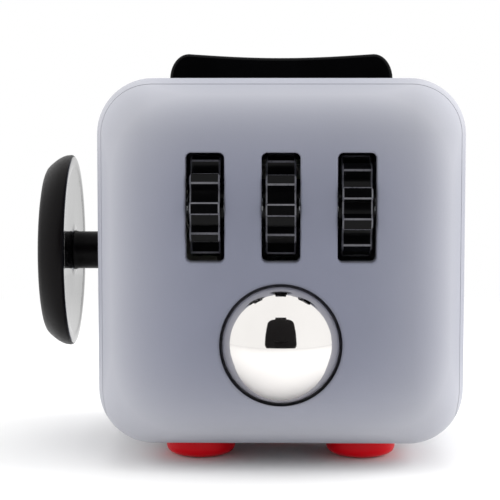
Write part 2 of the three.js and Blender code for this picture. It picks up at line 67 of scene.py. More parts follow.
# Most of a noise texture's values lie between these two.
NOISE_SPAN = (0.3, 0.7)
# In millimetres: points closer than WELD are one point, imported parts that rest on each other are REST_GAP
# apart, ribs and bosses reach ROOT into a wall, and cutters reach PAST beyond what they cut.
WELD = 1e-5
REST_GAP = 0.05
ROOT = 0.5
PAST = 5.0
LOG = logging.getLogger("fidget_cube")

Point = tuple[float, float]
Ring = list[Vector]
Link = tuple[bpy.types.Node, str | int]


# ---------------------------------------------------------------- places
class Heading(Enum):
    """The way that a shape made along +Z points once it is in place.

    ACROSS is for a side view, drawn as depth and height, that is raised across the cube's width.
    """

    LEFT = Matrix.Rotation(-math.pi / 2, 4, "Y")
    RIGHT = Matrix.Rotation(math.pi / 2, 4, "Y")
    FRONT = Matrix.Rotation(math.pi / 2, 4, "X")
    BACK = Matrix.Rotation(-math.pi / 2, 4, "X")
    UP = Matrix.Identity(4)
    DOWN = Matrix.Rotation(math.pi, 4, "X")
    ACROSS = Matrix(((0, 0, 1, 0), (1, 0, 0, 0), (0, 1, 0, 0), (0, 0, 0, 1)))


@dataclass(frozen=True)
class Place:
    """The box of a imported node, in millimetres about the cube's centre."""

    low: Vector
    high: Vector

    @classmethod
    def of(cls, node: str) -> "Place":
        """Reads a node's box.

        Args:
            node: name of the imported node.

        Returns:
            Its place about the cube's centre.
        """
        low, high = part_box(node)
        return cls((low - CENTRE) / MM, (high - CENTRE) / MM)

    @property
    def middle(self) -> Vector:
        """The middle of the box."""
        return (self.low + self.high) / 2

    @property
    def size(self) -> Vector:
        """The box's width, depth and height."""
        return self.high - self.low


def cube_half_and_centre() -> tuple[float, Vector]:
    """Finds the cube from its main shell, which reaches the flat faces on five sides.

    Returns:
        Half the cube's width in millimetres, and its centre in metres.
    """
    low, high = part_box("main_shell")
    half = (high.x - low.x) / 2
    return half / MM, Vector((0, high.y - half, high.z - half))


HALF, CENTRE = cube_half_and_centre()


def middles(stem: str, count: int) -> list[Vector]:
    """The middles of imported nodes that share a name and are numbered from 1."""
    return [Place.of(f"{stem}_{number}").middle for number in range(1, count + 1)]


def span(half: float, middle: float = 0.0) -> Point:
    """The two coordinates at one distance on either side of a middle."""
    return middle - half, middle + half


# ---------------------------------------------------------------- mesh work
def outline_rectangle(width: float, height: float, radius: float, steps: int = 8) -> list[Point]:
    """Draws a rectangle with round corners.

    Args:
        width: size along the first axis.
        height: size along the second axis.
        radius: corner radius.
        steps: points on each corner's arc, less one.

    Returns:
        The outline's points, anticlockwise.
    """
    points = []
    for quarter, (x, y) in enumerate([(1, 1), (-1, 1), (-1, -1), (1, -1)]):
        corner = (x * (width / 2 - radius), y * (height / 2 - radius))
        points += arc(corner, radius, 90 * quarter, 90 * quarter + 90, steps)
    return points


def arc(centre: Point, radius: float, start: float, end: float, steps: int = 6) -> list[Point]:
    """Draws a circular arc.

    Args:
        centre: its centre.
        radius: its radius.
        start: first angle in degrees.
        end: last angle in degrees.
        steps: segments along it.

    Returns:
        The arc's points, both ends included.
    """
    angles = [math.radians(start + (end - start) * i / steps) for i in range(steps + 1)]
    return [(centre[0] + radius * math.cos(a), centre[1] + radius * math.sin(a)) for a in angles]


def mesh_of(bm: bmesh.types.BMesh) -> bpy.types.Object:
    """Turns a closed shape in millimetres into an object, with its faces pointing out.

    Args:
        bm: the shape, which is freed.

    Returns:
        The object, still in millimetres.
    """
    bmesh.ops.remove_doubles(bm, verts=bm.verts, dist=WELD)
    bmesh.ops.recalc_face_normals(bm, faces=bm.faces)
    mesh = bpy.data.meshes.new("shape")
    bm.to_mesh(mesh)
    bm.free()
    piece = bpy.data.objects.new("shape", mesh)
    bpy.context.scene.collection.objects.link(piece)
    return piece


def loft(rings: Sequence[Ring]) -> bpy.types.Object:
    """Skins rings that have the same number of points, and closes both ends.

    Args:
        rings: the rings in order.

    Returns:
        The closed object.
    """
    bm = bmesh.new()
    rows = [[bm.verts.new(point) for point in ring] for ring in rings]
    count = len(rings[0])
    for lower, upper in zip(rows, rows[1:]):
        for i in range(count):
            j = (i + 1) % count
            bm.faces.new((lower[i], lower[j], upper[j], upper[i]))
    bm.faces.new(reversed(rows[0]))
    bm.faces.new(rows[-1])
    return mesh_of(bm)


def turned(profile: Iterable[Point], segments: int = 96) -> bpy.types.Object:
    """Turns a profile about +Z.

    Args:
        profile: points as (radius, height), starting and ending on the axis.
        segments: sides round the axis.

    Returns:
        The closed object.
    """
    bm = bmesh.new()
    previous = None
    turns = [(math.cos(2 * math.pi * i / segments), math.sin(2 * math.pi * i / segments))
             for i in range(segments)]
    for radius, height in profile:
        if radius < WELD:
            row = [bm.verts.new((0, 0, height))]
        else:
            row = [bm.verts.new((radius * c, radius * s, height)) for c, s in turns]
        if previous is not None:
            for i in range(segments):
                j = (i + 1) % segments
                corners = [previous[i % len(previous)], previous[j % len(previous)],
                           row[j % len(row)], row[i % len(row)]]
                unique = list(dict.fromkeys(corners))
                if len(unique) > 2:
                    bm.faces.new(unique)
        previous = row
    return mesh_of(bm)


def rod(radius: float, low: float, high: float, segments: int = 32) -> bpy.types.Object:
    """A plain round rod along +Z between two heights, for bosses and for boring."""
    return turned([(0, low), (radius, low), (radius, high), (0, high)], segments)


def prism(outline: Sequence[Point], low: float, high: float) -> bpy.types.Object:
    """Raises an outline along +Z between two heights."""
    return loft([[Vector((x, y, z)) for x, y in outline] for z in (low, high)])


def tapering(outline: Callable[[float], list[Point]], rings: Sequence[Point]) -> bpy.types.Object:
    """Raises an outline along +Z that grows and shrinks on its way.

    Args:
        outline: gives the outline for an offset.
        rings: (offset, height) of each ring.

    Returns:
        The closed object.
    """
    return loft([[Vector((x, y, z)) for x, y in outline(offset)] for offset, z in rings])


def moved(piece: bpy.types.Object, heading: Heading = Heading.UP,
          at: Sequence[float] = (0, 0, 0)) -> bpy.types.Object:
    """Turns a piece to its heading and moves it.

    Args:
        piece: the piece, made along +Z.
        heading: the way it points.
        at: where its origin goes, in millimetres about the cube's centre.

    Returns:
        The same piece.
    """
    piece.data.transform(Matrix.Translation(Vector(at)) @ heading.value)
    return piece


def coil(radius: float, wire: float, low: float, high: float, turns: float) -> bpy.types.Object:
    """Winds a compression spring about +Z, with its end turns lying flat.

    Args:
        radius: radius of the coil's middle line.
        wire: radius of the wire.
        low: height of its lower end.
        high: height of its upper end.
        turns: number of turns.

    Returns:
        The closed wire.
    """
    steps = int(turns * 32)
    sides = 10
    flat = 0.6
    rings = []
    for step in range(steps + 1):
        turn = turns * step / steps
        rise = min(1, max(0, (turn - flat) / (turns - 2 * flat)))
        out = Vector((math.cos(2 * math.pi * turn), math.sin(2 * math.pi * turn), 0))
        middle = out * radius + Vector((0, 0, low + wire + (high - low - 2 * wire) * rise))
        rings.append([middle + wire * (out * math.cos(a) + Vector((0, 0, math.sin(a))))
                      for a in (2 * math.pi * i / sides for i in range(sides))])
    return loft(rings)


def block(x: Point, y: Point, z: Point) -> bpy.types.Object:
    """A box between pairs of coordinates, for ribs and for cutting."""
    return prism([(x[0], y[0]), (x[1], y[0]), (x[1], y[1]), (x[0], y[1])], *z)


def rounded_cube(half: float, radius: float, steps: int) -> bpy.types.Object:
    """Makes a cube with round edges and round corners.

    Args:
        half: half its width.
        radius: radius of its edges.
        steps: segments across each edge.

    Returns:
        The closed object.
    """
    piece = block(span(half), span(half), span(half))
    bevel = piece.modifiers.new("edges", "BEVEL")
    bevel.width = radius
    bevel.segments = steps
    bevel.use_clamp_overlap = False
    return applied(piece)


def applied(piece: bpy.types.Object) -> bpy.types.Object:
    """Bakes a piece's modifiers into its mesh.

    Args:
        piece: the piece.

    Returns:
        The same piece, with no modifiers.
    """
    graph = bpy.context.evaluated_depsgraph_get()
    mesh = bpy.data.meshes.new_from_object(piece.evaluated_get(graph), depsgraph=graph)
    old = piece.data
    piece.modifiers.clear()
    piece.data = mesh
    bpy.data.meshes.remove(old)
    return piece


class Work(Enum):
    """What a solid does to another."""

    JOIN = "UNION"
    CUT = "DIFFERENCE"
    KEEP = "INTERSECT"


def worked(piece: bpy.types.Object, work: Work, tools: Iterable[bpy.types.Object]) -> bpy.types.Object:
    """Joins, cuts or trims a piece with each tool in turn, and removes the tools.

    Args:
        piece: the piece to work on.
        work: what the tools do to it.
        tools: the tools.

    Returns:
        The same piece.
    """
    for tool in tools:
        step = piece.modifiers.new("work", "BOOLEAN")
        step.operation = work.value
        step.solver = "EXACT"
        step.object = tool
        applied(piece)
        bpy.data.objects.remove(tool)
    return piece


def lip(radius: float, steps: int = 5) -> list[Point]:
    """Draws a cutter's flare, which leaves a hole with a rounded rim.

    Args:
        radius: radius of the rim.
        steps: segments round it.

    Returns:
        (offset, depth below the face) from inside the hole outwards, ending clear above the face.
    """
    flat = 8
    angles = [math.radians(90 - (90 - flat) * i / steps) for i in range(steps + 1)]
    rings = [(radius - radius * math.sin(a), radius - radius * math.cos(a)) for a in angles]
    offset, depth = rings[-1]
    above = 0.04
    clear = 1.0
    offset += (depth + above) / math.tan(math.radians(flat))
    return [*rings, (offset, -above), (offset, -clear)]


def hole(radius: float, depth: float, rim: float) -> bpy.types.Object:
    """A cutter for a round hole with a rounded rim, from a face at height zero downwards."""
    wall = [(radius + offset, -below) for offset, below in lip(rim)]
    return turned([(0, -depth), (radius, -depth), *wall, (0, wall[-1][1])])


def slot(width: float, height: float, corner: float, depth: float, rim: float) -> bpy.types.Object:
    """Makes a cutter for a rectangular opening with a rounded rim, from a face at height zero.

    Args:
        width: size along the first axis.
        height: size along the second axis.
        corner: corner radius.
        depth: how deep it cuts.
        rim: radius of the rim.

    Returns:
        The cutter.
    """
    def outline(offset: float) -> list[Point]:
        """The opening, grown by an offset."""
        return outline_rectangle(width + 2 * offset, height + 2 * offset, corner + offset)

    rings = [(0.0, -depth), *[(offset, -below) for offset, below in lip(rim)]]
    return tapering(outline, rings)


# ---------------------------------------------------------------- finishes
def linear(colour: str) -> tuple[float, float, float, float]:
    """Turns an sRGB hex colour into the linear one that shaders take."""
    parts = [int(colour[i:i + 2], 16) / 255 for i in (1, 3, 5)]
    return (*[c / 12.92 if c <= 0.04045 else ((c + 0.055) / 1.055) ** 2.4 for c in parts], 1.0)


def add(tree: bpy.types.NodeTree, kind: str, settings: dict | None = None,
        links: dict[str | int, Link] | None = None) -> bpy.types.Node:
    """Adds a node with its settings and links.

    Args:
        tree: the node tree.
        kind: the node's type.
        settings: values by socket name, socket number or property name.
        links: for each of its inputs, by name or number, the node and output that feed it.

    Returns:
        The node.
    """
    made = tree.nodes.new(kind)
    for key, value in (settings or {}).items():
        if isinstance(key, int) or key in made.inputs:
            made.inputs[key].default_value = value
        else:
            setattr(made, key, value)
    for key, (source, output) in (links or {}).items():
        tree.links.new(source.outputs[output], made.inputs[key])
    return made


def per_metre(size_mm: float) -> float:
    """The texture scale whose pattern repeats about once in a size in millimetres."""
    return 1 / (size_mm * MM)


@dataclass(frozen=True)
class Finish:
    """A surface with clouds of colour and gloss over a fine grain.

    The clouds keep a large face from looking painted, and the grain breaks up its highlights.
    """

    name: str
    light: str
    dark: str
    roughness: Point
    ior: float = 1.5
    metallic: float = 0.0
    cloud_mm: float = 6.0
    grain_mm: float = 0.3
    grain_height_mm: float = 0.01
    stretch: tuple[float, float, float] = (1, 1, 1)
    specular: float = 0.5
    sheen: float = 0.0
    sheen_roughness: float = 0.5
    grazing_tint: str = "#FFFFFF"

    def colour(self, tree: bpy.types.NodeTree, place: bpy.types.Node) -> Link:
        """Adds the clouds of colour.

        Args:
            tree: the node tree.
            place: the texture coordinates.

        Returns:
            The output that holds the colour.
        """
        clouds = add(tree, "ShaderNodeTexNoise", {"Scale": per_metre(self.cloud_mm), "Detail": 3.0},
                     {"Vector": (place, "Object")})
        ramp = add(tree, "ShaderNodeValToRGB", links={"Fac": (clouds, "Fac")})
        for element, position, shade in zip(ramp.color_ramp.elements, NOISE_SPAN, (self.dark, self.light)):
            element.position = position
            element.color = linear(shade)
        return ramp, "Color"

    def material(self) -> bpy.types.Material:
        """Builds the material once and gives it back after that.

        Returns:
            The material.
        """
        found = bpy.data.materials.get(self.name)
        if found:
            return found
        material = bpy.data.materials.new(self.name)
        material.use_nodes = True
        tree = material.node_tree
        tree.nodes.clear()
        place = add(tree, "ShaderNodeTexCoord")
        drawn = add(tree, "ShaderNodeMapping", {"Scale": self.stretch}, {"Vector": (place, "Object")})
        grain = add(tree, "ShaderNodeTexNoise", {"Scale": per_metre(self.grain_mm), "Detail": 2.0},
                    {"Vector": (drawn, "Vector")})
        gloss = add(tree, "ShaderNodeMapRange", {
            "From Min": NOISE_SPAN[0], "From Max": NOISE_SPAN[1],
            "To Min": self.roughness[0], "To Max": self.roughness[1],
        }, {"Value": (grain, "Fac")})
        bump = add(tree, "ShaderNodeBump", {"Strength": 1.0, "Distance": self.grain_height_mm * MM},
                   {"Height": (grain, "Fac")})
        surface = add(tree, "ShaderNodeBsdfPrincipled", {
            "IOR": self.ior, "Metallic": self.metallic, "Specular IOR Level": self.specular,
            "Sheen Weight": self.sheen, "Sheen Roughness": self.sheen_roughness,
            "Specular Tint": linear(self.grazing_tint),
        }, {
            "Base Color": self.colour(tree, place), "Roughness": (gloss, "Result"),
            "Normal": (bump, "Normal"),
        })
        add(tree, "ShaderNodeOutputMaterial", links={"Surface": (surface, "BSDF")})
        return material


@dataclass(frozen=True)
class PaintedEdgeLightFinish(Finish):
    """A finish with painted light: its colour grows paler towards the cube's rounded edges.

    The painted edge light is part of the colour and is worked out from the place on the cube, so every face
    has it.
    """

    # The colour of the painted edge light.
    edge: str = "#FFFFFF"
    full: float = 0.75

    def colour(self, tree: bpy.types.NodeTree, place: bpy.types.Node) -> Link:
        """Adds the clouds and lays the paler edge colour, which is painted light, over them.

        The fourth powers of the two distances across a face are added, which gives soft square bands.

        Args:
            tree: the node tree.
            place: the texture coordinates.

        Returns:
            The output that holds the colour.
        """
        reach = 1 / (HALF * MM)
        centred = add(tree, "ShaderNodeMapping", {
            "Scale": (reach, reach, reach), "Location": -CENTRE * reach,
        }, {"Vector": (place, "Object")})
        square = add(tree, "ShaderNodeVectorMath", {"operation": "MULTIPLY"},
                     {0: (centred, "Vector"), 1: (centred, "Vector")})
        fourth = add(tree, "ShaderNodeVectorMath", {"operation": "MULTIPLY"},
                     {0: (square, "Vector"), 1: (square, "Vector")})
        axes = add(tree, "ShaderNodeSeparateXYZ", links={"Vector": (fourth, "Vector")})
        larger = add(tree, "ShaderNodeMath", {"operation": "MAXIMUM"}, {0: (axes, "X"), 1: (axes, "Y")})
        largest = add(tree, "ShaderNodeMath", {"operation": "MAXIMUM"},
                      {0: (larger, "Value"), 1: (axes, "Z")})
        total = add(tree, "ShaderNodeVectorMath", {"operation": "DOT_PRODUCT", 1: (1, 1, 1)},
                    {0: (fourth, "Vector")})
        across = add(tree, "ShaderNodeMath", {"operation": "SUBTRACT"},
                     {0: (total, "Value"), 1: (largest, "Value")})
        # Painted light: the share of the paler edge colour grows towards the rounded edges.
        share = add(tree, "ShaderNodeMapRange", {"From Min": 0.0, "From Max": self.full},
                    {"Value": (across, "Value")})
        mix = add(tree, "ShaderNodeMix", {"data_type": "RGBA", 7: linear(self.edge)},
                  {0: (share, "Result"), 6: super().colour(tree, place)})
        return mix, 2


# ABS moulded in a sparked tool: a soft grey with no clear reflection, made paler round its edges by painted
# light.
# Such a grain is about 0.05 mm, too fine to show, so it is drawn at 0.22 mm.
SHELL_ABS = PaintedEdgeLightFinish("sparked_grey_abs", "#787B8C", "#747787", (0.5, 0.6), 1.53, cloud_mm=9,
                           grain_mm=0.22, grain_height_mm=0.006, specular=0.35, sheen=0.1,
                           edge="#A7A8B0")
# ABS moulded in a polished tool: a deep black that only lights up along its edges.
POLISHED_BLACK = Finish("polished_black_abs", "#060607", "#030304", (0.16, 0.22), 1.53, cloud_mm=7,
                        grain_mm=0.6, grain_height_mm=0.002, specular=0.1)
# The same black painted pale grey on the bevels round the ridges of the wheels: painted highlights that show
# as thin pale lines at their edges.
PAINTED_GLINT_BLACK = Finish("painted_glint_black_abs", "#5C5C62", "#48484E", (0.25, 0.35), 1.53, cloud_mm=1.5,
                      grain_mm=0.3, grain_height_mm=0.004, specular=0.5)
# The same black with a gloss of its own on the dial's nub: a small soft reflection against the dull disc.
GLOSSY_BLACK = Finish("glossy_black_abs", "#0A0A0B", "#060607", (0.16, 0.22), 1.53, cloud_mm=2,
                      grain_mm=0.5, grain_height_mm=0.002, specular=0.3)
# The same black, highly polished, on the back of the thumb cap: it mirrors the white around it.
MIRROR_BLACK = Finish("mirror_black_abs", "#0A0A0B", "#060607", (0.05, 0.1), 1.53, cloud_mm=7,
                      grain_mm=1.2, grain_height_mm=0.004, specular=0.9)
# ABS moulded in a satin tool: a brown-black, with its highlights spread wide.
SATIN_BLACK = Finish("satin_black_abs", "#0C0A0B", "#070506", (0.34, 0.44), 1.53, cloud_mm=7,
                     grain_mm=0.28, grain_height_mm=0.005, specular=0.09)
# ABS moulded in a coarse sparked tool: small sparkling pits across the dial, drawn at 0.34 mm.
PITTED_BLACK = Finish("pitted_black_abs", "#111114", "#050506", (0.34, 0.5), 1.53, cloud_mm=0.34,
                      grain_mm=0.34, grain_height_mm=0.045, specular=0.07)
# ABS coloured through in a strong red, with a soft shine.
RED_ABS = Finish("satin_red_abs", "#D80116", "#CA0012", (0.3, 0.38), 1.53, cloud_mm=4,
                 grain_mm=0.25, grain_height_mm=0.003, specular=0.14)
# Uncoloured ABS as moulded for inner parts: a warm off-white, dull.
NATURAL_ABS = Finish("natural_abs", "#CDCCC4", "#C4C2B9", (0.5, 0.62), 1.53, cloud_mm=5,
                     grain_mm=0.35, grain_height_mm=0.006)
# Moulded silicone: grey and without shine.
SILICONE = Finish("moulded_silicone", "#8D9297", "#84898E", (0.75, 0.88), 1.42, cloud_mm=3,
                  grain_mm=0.3, grain_height_mm=0.008)
# Bearing steel, ground and chrome plated: a clear mirror with hairline lapping marks, which dulls to grey
# at a low angle.
CHROMED_STEEL = Finish("chromed_bearing_steel", "#F2EFEC", "#EAE7E4", (0.03, 0.06), metallic=1.0,
                       cloud_mm=8, grain_mm=0.5, grain_height_mm=0.0006, stretch=(1, 6, 1),
                       grazing_tint="#6E686E")
# Drawn wire and stamped strip: bright steel with lines along the way it was drawn.
SPRING_STEEL = Finish("drawn_spring_steel", "#BCBFC4", "#B0B3B8", (0.24, 0.36), metallic=1.0,
                      cloud_mm=3, grain_mm=0.3, grain_height_mm=0.004, stretch=(5, 1, 1))

SLOT_FINISHES = {
    "shell_grey": SHELL_ABS, "black_abs": SATIN_BLACK, "red_abs": RED_ABS, "inner_abs": NATURAL_ABS,
    "silicone": SILICONE, "chromed_steel": CHROMED_STEEL, "spring_steel": SPRING_STEEL,
}


def dressed(piece: bpy.types.Object, name: str, finish: Finish, body: str, slot_name: str,
            *nodes: str) -> bpy.types.Object:
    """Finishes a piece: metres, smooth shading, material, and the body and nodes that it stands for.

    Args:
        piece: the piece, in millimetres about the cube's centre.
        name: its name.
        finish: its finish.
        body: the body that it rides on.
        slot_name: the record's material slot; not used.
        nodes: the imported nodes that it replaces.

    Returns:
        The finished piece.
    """
    piece.name = name
    piece.data.transform(Matrix.Translation(CENTRE) @ Matrix.Scale(MM, 4))
    piece.data.materials.clear()
    piece.data.materials.append(finish.material())
    for face in piece.data.polygons:
        face.use_smooth = True
        face.material_index = 0
    piece.data.set_sharp_from_angle(angle=SMOOTH_ANGLE)
    weighted = piece.modifiers.new("weighted", "WEIGHTED_NORMAL")
    weighted.keep_sharp = True
    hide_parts(*nodes)
    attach(piece, body)
    LOG.info("%s: %d faces, rides on %s", name, len(piece.data.polygons), body)
    return piece


# ---------------------------------------------------------------- sub-assemblies
@dataclass
class ShellMouldings:
    """The main shell and the L-shaped cover that closes its front and bottom."""

    edge_radius: float = 5.0
    edge_steps: int = 14
    wall: float = 2.0
    seam_front: float = 2.7
    seam_bottom: float = 2.3
    seam_gap: float = 0.1
    lap_depth: float = 0.5
    lap_reach: float = 0.35
    seam_corner: float = 2.0
    rim: float = 0.3
    button_hole: float = 3.4
    slot_width: float = 3.4
    slot_height: float = 9.6
    ball_socket: float = 6.2
    stem_hole: float = 3.7
    dial_opening: float = 9.7
    pocket_floor: float = 14.4
    pocket_back: float = 13.0
    rocker_opening: Point = (22.4, 10.8)
    dish: Point = (8.0, 10.9)
    dish_depth: float = 1.2
    dish_power: float = 3.2
    dish_backing_start: float = 0.9
    core_steps: int = 6
    rocker_corner: float = 0.55
    slot_corner: float = 0.5
    slot_rim: float = 0.22
    dial_bore: float = 2.7
    dial_seat: float = 12.0
    ring_wall: float = 1.2
    pin_bore: float = 0.9
    pin_reach: float = 8.0
    axle_bore: float = 1.12
    axle_reach: float = 12.0
    axle_post: float = 9.6
    axle_post_half: float = 0.8
    axle_post_past: float = 2.0
    leaf_post_half: float = 1.3
    post_half_height: float = 1.9
    rib_reach: float = 6.0
    rib_edges: Point = (5.4, 6.4)
    rib_start: float = 10.0
    stick_seat: float = 12.15
    track_boss: float = 1.25
    ball_boss: float = 1.5
    boss_radius: float = 1.6

    @property
    def inner(self) -> float:
        """Distance from the centre to the inside of a wall."""
        return HALF - self.wall

    @property
    def root(self) -> float:
        """Where ribs and bosses end inside a wall."""
        return self.inner + ROOT

    @property
    def depth(self) -> float:
        """How deep the cutters of the walls reach."""
        return self.wall + 0.1

    def core(self, bury: float = 0.0) -> bpy.types.Object:
        """The space inside the walls, or that space grown into them."""
        return rounded_cube(self.inner + bury, self.edge_radius - self.wall + bury, self.core_steps)

    def blank(self) -> bpy.types.Object:
        """The closed hollow cube before it is divided and opened."""
        outer = rounded_cube(HALF, self.edge_radius, self.edge_steps)
        return worked(outer, Work.CUT, [self.core()])

    def cover_zone(self, allowance: float) -> bpy.types.Object:
        """Makes the L-shaped space of the cover.

        Args:
            allowance: how far the space grows into the main shell.

        Returns:
            The space as a solid.
        """
        y = -HALF + self.seam_front + allowance
        z = -HALF + self.seam_bottom + allowance
        far = HALF + PAST
        corner = arc((y + self.seam_corner, z + self.seam_corner), self.seam_corner, 270, 180, steps=10)
        outline = [(-far, -far), (far, -far), (far, z), *corner, (y, far), (-far, far)]
        return moved(prism(outline, -far, far), Heading.ACROSS)

    def lap_core(self) -> bpy.types.Object:
        """The solid cube under the skin of both mouldings, where they lap."""
        return rounded_cube(HALF - self.lap_depth, self.edge_radius - self.lap_depth, self.edge_steps)

    def tongue(self) -> bpy.types.Object:
        """The thin edge of the main shell that reaches behind the cover and closes the seam."""
        return worked(self.lap_core(), Work.CUT, [self.core(bury=0.1), self.cover_zone(-self.lap_reach)])

    def rebate(self) -> bpy.types.Object:
        """The step inside the cover's edge that takes the main shell's tongue."""
        return worked(self.lap_core(), Work.CUT, [self.cover_zone(-self.lap_reach - self.seam_gap)])

    def dish_tool(self) -> bpy.types.Object:
        """Makes the cutter for the thumb dish: a shallow oval bowl with a soft rim.

        Returns:
            The cutter.
        """
        steps = 28
        flare = 1.12
        above = 0.5
        shares = [i / steps for i in range(steps + 1)]
        bowl = [(share, -self.dish_depth * (1 - share ** self.dish_power)) for share in shares]
        piece = turned([*bowl, (flare, above), (0, above)], 112)
        piece.data.transform(Matrix.Diagonal((self.dish[1], self.dish[0], 1, 1)))
        return moved(piece, Heading.RIGHT, (HALF, 0, 0))

    def dish_backing(self) -> bpy.types.Object:
        """Makes the thickening behind the thumb dish.

        Returns:
            The thickening.
        """
        thick = 1.2
        piece = turned([(0, 0), (0.92, 0), (1, 0.3), (1, thick), (0, thick)], 64)
        piece.data.transform(Matrix.Diagonal((self.dish[1] + ROOT, self.dish[0] + ROOT, 1, 1)))
        return moved(piece, Heading.RIGHT, (self.inner - self.dish_backing_start, 0, 0))

    def bosses(self) -> list[bpy.types.Object]:
        """Makes the ribs and screw bosses inside the main shell.

        Returns:
            The ribs, the bosses, the dial's ring and the dish's backing.
        """
        near, far = self.rib_edges
        ribs = [block(span(self.rib_reach), edges, (self.rib_start, self.root))
                for edges in ((-far, -near), (near, far))]
        seat = Place.of("rocker_track").high.z + REST_GAP
        track = [moved(rod(self.track_boss, seat, self.root), at=(0, screw.y, 0))
                 for screw in middles("track_screw", 2)]
        stick = [moved(rod(self.boss_radius, self.stick_seat, self.root), Heading.LEFT, (0, screw.y, 0))
                 for screw in middles("joystick_screw", 2)]
        ring = moved(rod(self.dial_opening + self.ring_wall, self.pocket_back, self.root, 96), Heading.BACK)
        return [*ribs, *track, *stick, ring, self.dish_backing()]

    def main_shell(self) -> None:
        """Builds the five-sided grey moulding."""
        piece = worked(self.blank(), Work.CUT, [self.cover_zone(self.seam_gap)])
        worked(piece, Work.JOIN, [self.tongue(), *self.bosses()])
        pin = Place.of("rocker_pin").middle
        worked(piece, Work.CUT, [
            self.dish_tool(),
            moved(slot(*self.rocker_opening, self.rocker_corner, self.depth, self.slot_rim), at=(0, 0, HALF)),
            moved(hole(self.dial_opening, HALF - self.pocket_floor, self.rim), Heading.BACK, (0, HALF, 0)),
            moved(rod(self.dial_bore, self.dial_seat, HALF, 48), Heading.BACK),
            moved(hole(self.stem_hole, self.depth, self.rim), Heading.LEFT, (-HALF, 0, 0)),
            moved(rod(self.pin_bore, *span(self.pin_reach)), Heading.BACK, (0, 0, pin.z)),
        ])
        dressed(piece, "shell_main", SHELL_ABS, "housing", "shell_grey", "main_shell")

    def posts(self, axle: Vector) -> list[bpy.types.Object]:
        """Makes the posts and screw bosses inside the cover.

        Args:
            axle: the middle of the wheels' axle.

        Returns:
            The posts of the leaf spring and of the axle, and the bosses of the plate and the ball housing.
        """
        high = span(self.post_half_height, axle.z)
        leaf = Place.of("wheel_detent_leaf").low.y - REST_GAP
        plate = REST_GAP - Place.of("button_plate").low.z
        seat = REST_GAP - Place.of("ball_housing").low.y
        return [
            *[block(span(self.leaf_post_half, screw.x), (-self.root, leaf), high)
              for screw in middles("leaf_screw", 2)],
            *[block(span(self.axle_post_half, x), (-self.root, axle.y + self.axle_post_past), high)
              for x in span(self.axle_post)],
            *[moved(rod(self.boss_radius, plate, self.root), Heading.DOWN, (screw.x, screw.y, 0))
              for screw in middles("plate_screw", 3)],
            *[moved(rod(self.ball_boss, seat, self.root), Heading.FRONT, (screw.x, 0, screw.z))
              for screw in middles("ball_screw", 2)],
        ]

    def cover(self) -> None:
        """Builds the L-shaped cover with its slots and holes."""
        piece = worked(self.blank(), Work.KEEP, [self.cover_zone(0)])
        axle = Place.of("wheel_axle").middle
        worked(piece, Work.CUT, [self.rebate()])
        worked(piece, Work.JOIN, self.posts(axle))
        slots = [moved(slot(self.slot_width, self.slot_height, self.slot_corner, self.depth, self.slot_rim),
                       Heading.FRONT, (wheel.x, -HALF, axle.z)) for wheel in middles("toothed_wheel", 3)]
        holes = [moved(hole(self.button_hole, self.depth, self.rim), Heading.DOWN, (cap.x, cap.y, -HALF))
                 for cap in middles("button_cap", 5)]
        bore = moved(rod(self.axle_bore, *span(self.axle_reach)), Heading.RIGHT, axle)
        worked(piece, Work.CUT, [*slots, *holes, self.socket(Place.of("steel_ball").middle), bore])
        dressed(piece, "shell_cover", SHELL_ABS, "housing", "shell_grey", "corner_cover")

    def socket(self, ball: Vector) -> bpy.types.Object:
        """Makes the cutter for the ball's seat, a sphere that opens in a rounded rim.

        Args:
            ball: the ball's centre.

        Returns:
            The cutter.
        """
        reach = HALF + ball.y
        mouth = math.sqrt(self.ball_socket ** 2 - reach ** 2)
        start = math.degrees(math.asin((reach - self.rim) / self.ball_socket))
        sphere = arc((0, 0), self.ball_socket, -90, start, 26)
        sphere[0] = (0.0, -self.ball_socket)
        flare = [(mouth + offset, reach - below) for offset, below in lip(self.rim)[2:]]
        return moved(turned([*sphere, *flare, (0, flare[-1][1])]), Heading.FRONT, ball)


@dataclass
class ButtonSet:
    """The five red push buttons under the cube."""

    radius: float = 3.2
    crown: float = 1.6
    flange: float = 3.9
    flange_low: float = -14.4
    flange_high: float = -13.7
    stem: float = 0.9
    rounding: float = 0.75

    def build(self) -> None:
        """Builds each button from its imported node's place."""
        for number in range(1, 6):
            node = f"button_cap_{number}"
            at = Place.of(node)
            base = at.low.z
            dome = [(0, base), (self.crown, base), (2.1, base + 0.04), (2.5, base + 0.14)]
            edge = arc((self.radius - self.rounding, base + 0.95), self.rounding, -62, 0, 8)
            piece = turned([
                *dome, *edge, (self.radius, base + 1.3), (self.radius, self.flange_low),
                (self.flange, self.flange_low), (self.flange, self.flange_high),
                (self.stem, self.flange_high), (self.stem, at.high.z), (0, at.high.z),
            ], 80)
            moved(piece, at=(at.middle.x, at.middle.y, 0))
            dressed(piece, f"push_button_{number}", RED_ABS, f"button_{number}", "red_abs", node)


@dataclass
class ButtonSprings:
    """The coil springs between the buttons and their plate."""

    wire: float = 0.17
    turns: float = 3.0

    def build(self) -> None:
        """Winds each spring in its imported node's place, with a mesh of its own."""
        for number in range(1, 6):
            node = f"button_spring_{number}"
            at = Place.of(node)
            piece = coil(at.size.x / 2 - self.wire, self.wire, at.low.z, at.high.z, self.turns)
            moved(piece, at=(at.middle.x, at.middle.y, 0))
            dressed(piece, f"press_spring_{number}", SPRING_STEEL, "housing", "spring_steel", node)
            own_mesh(piece)


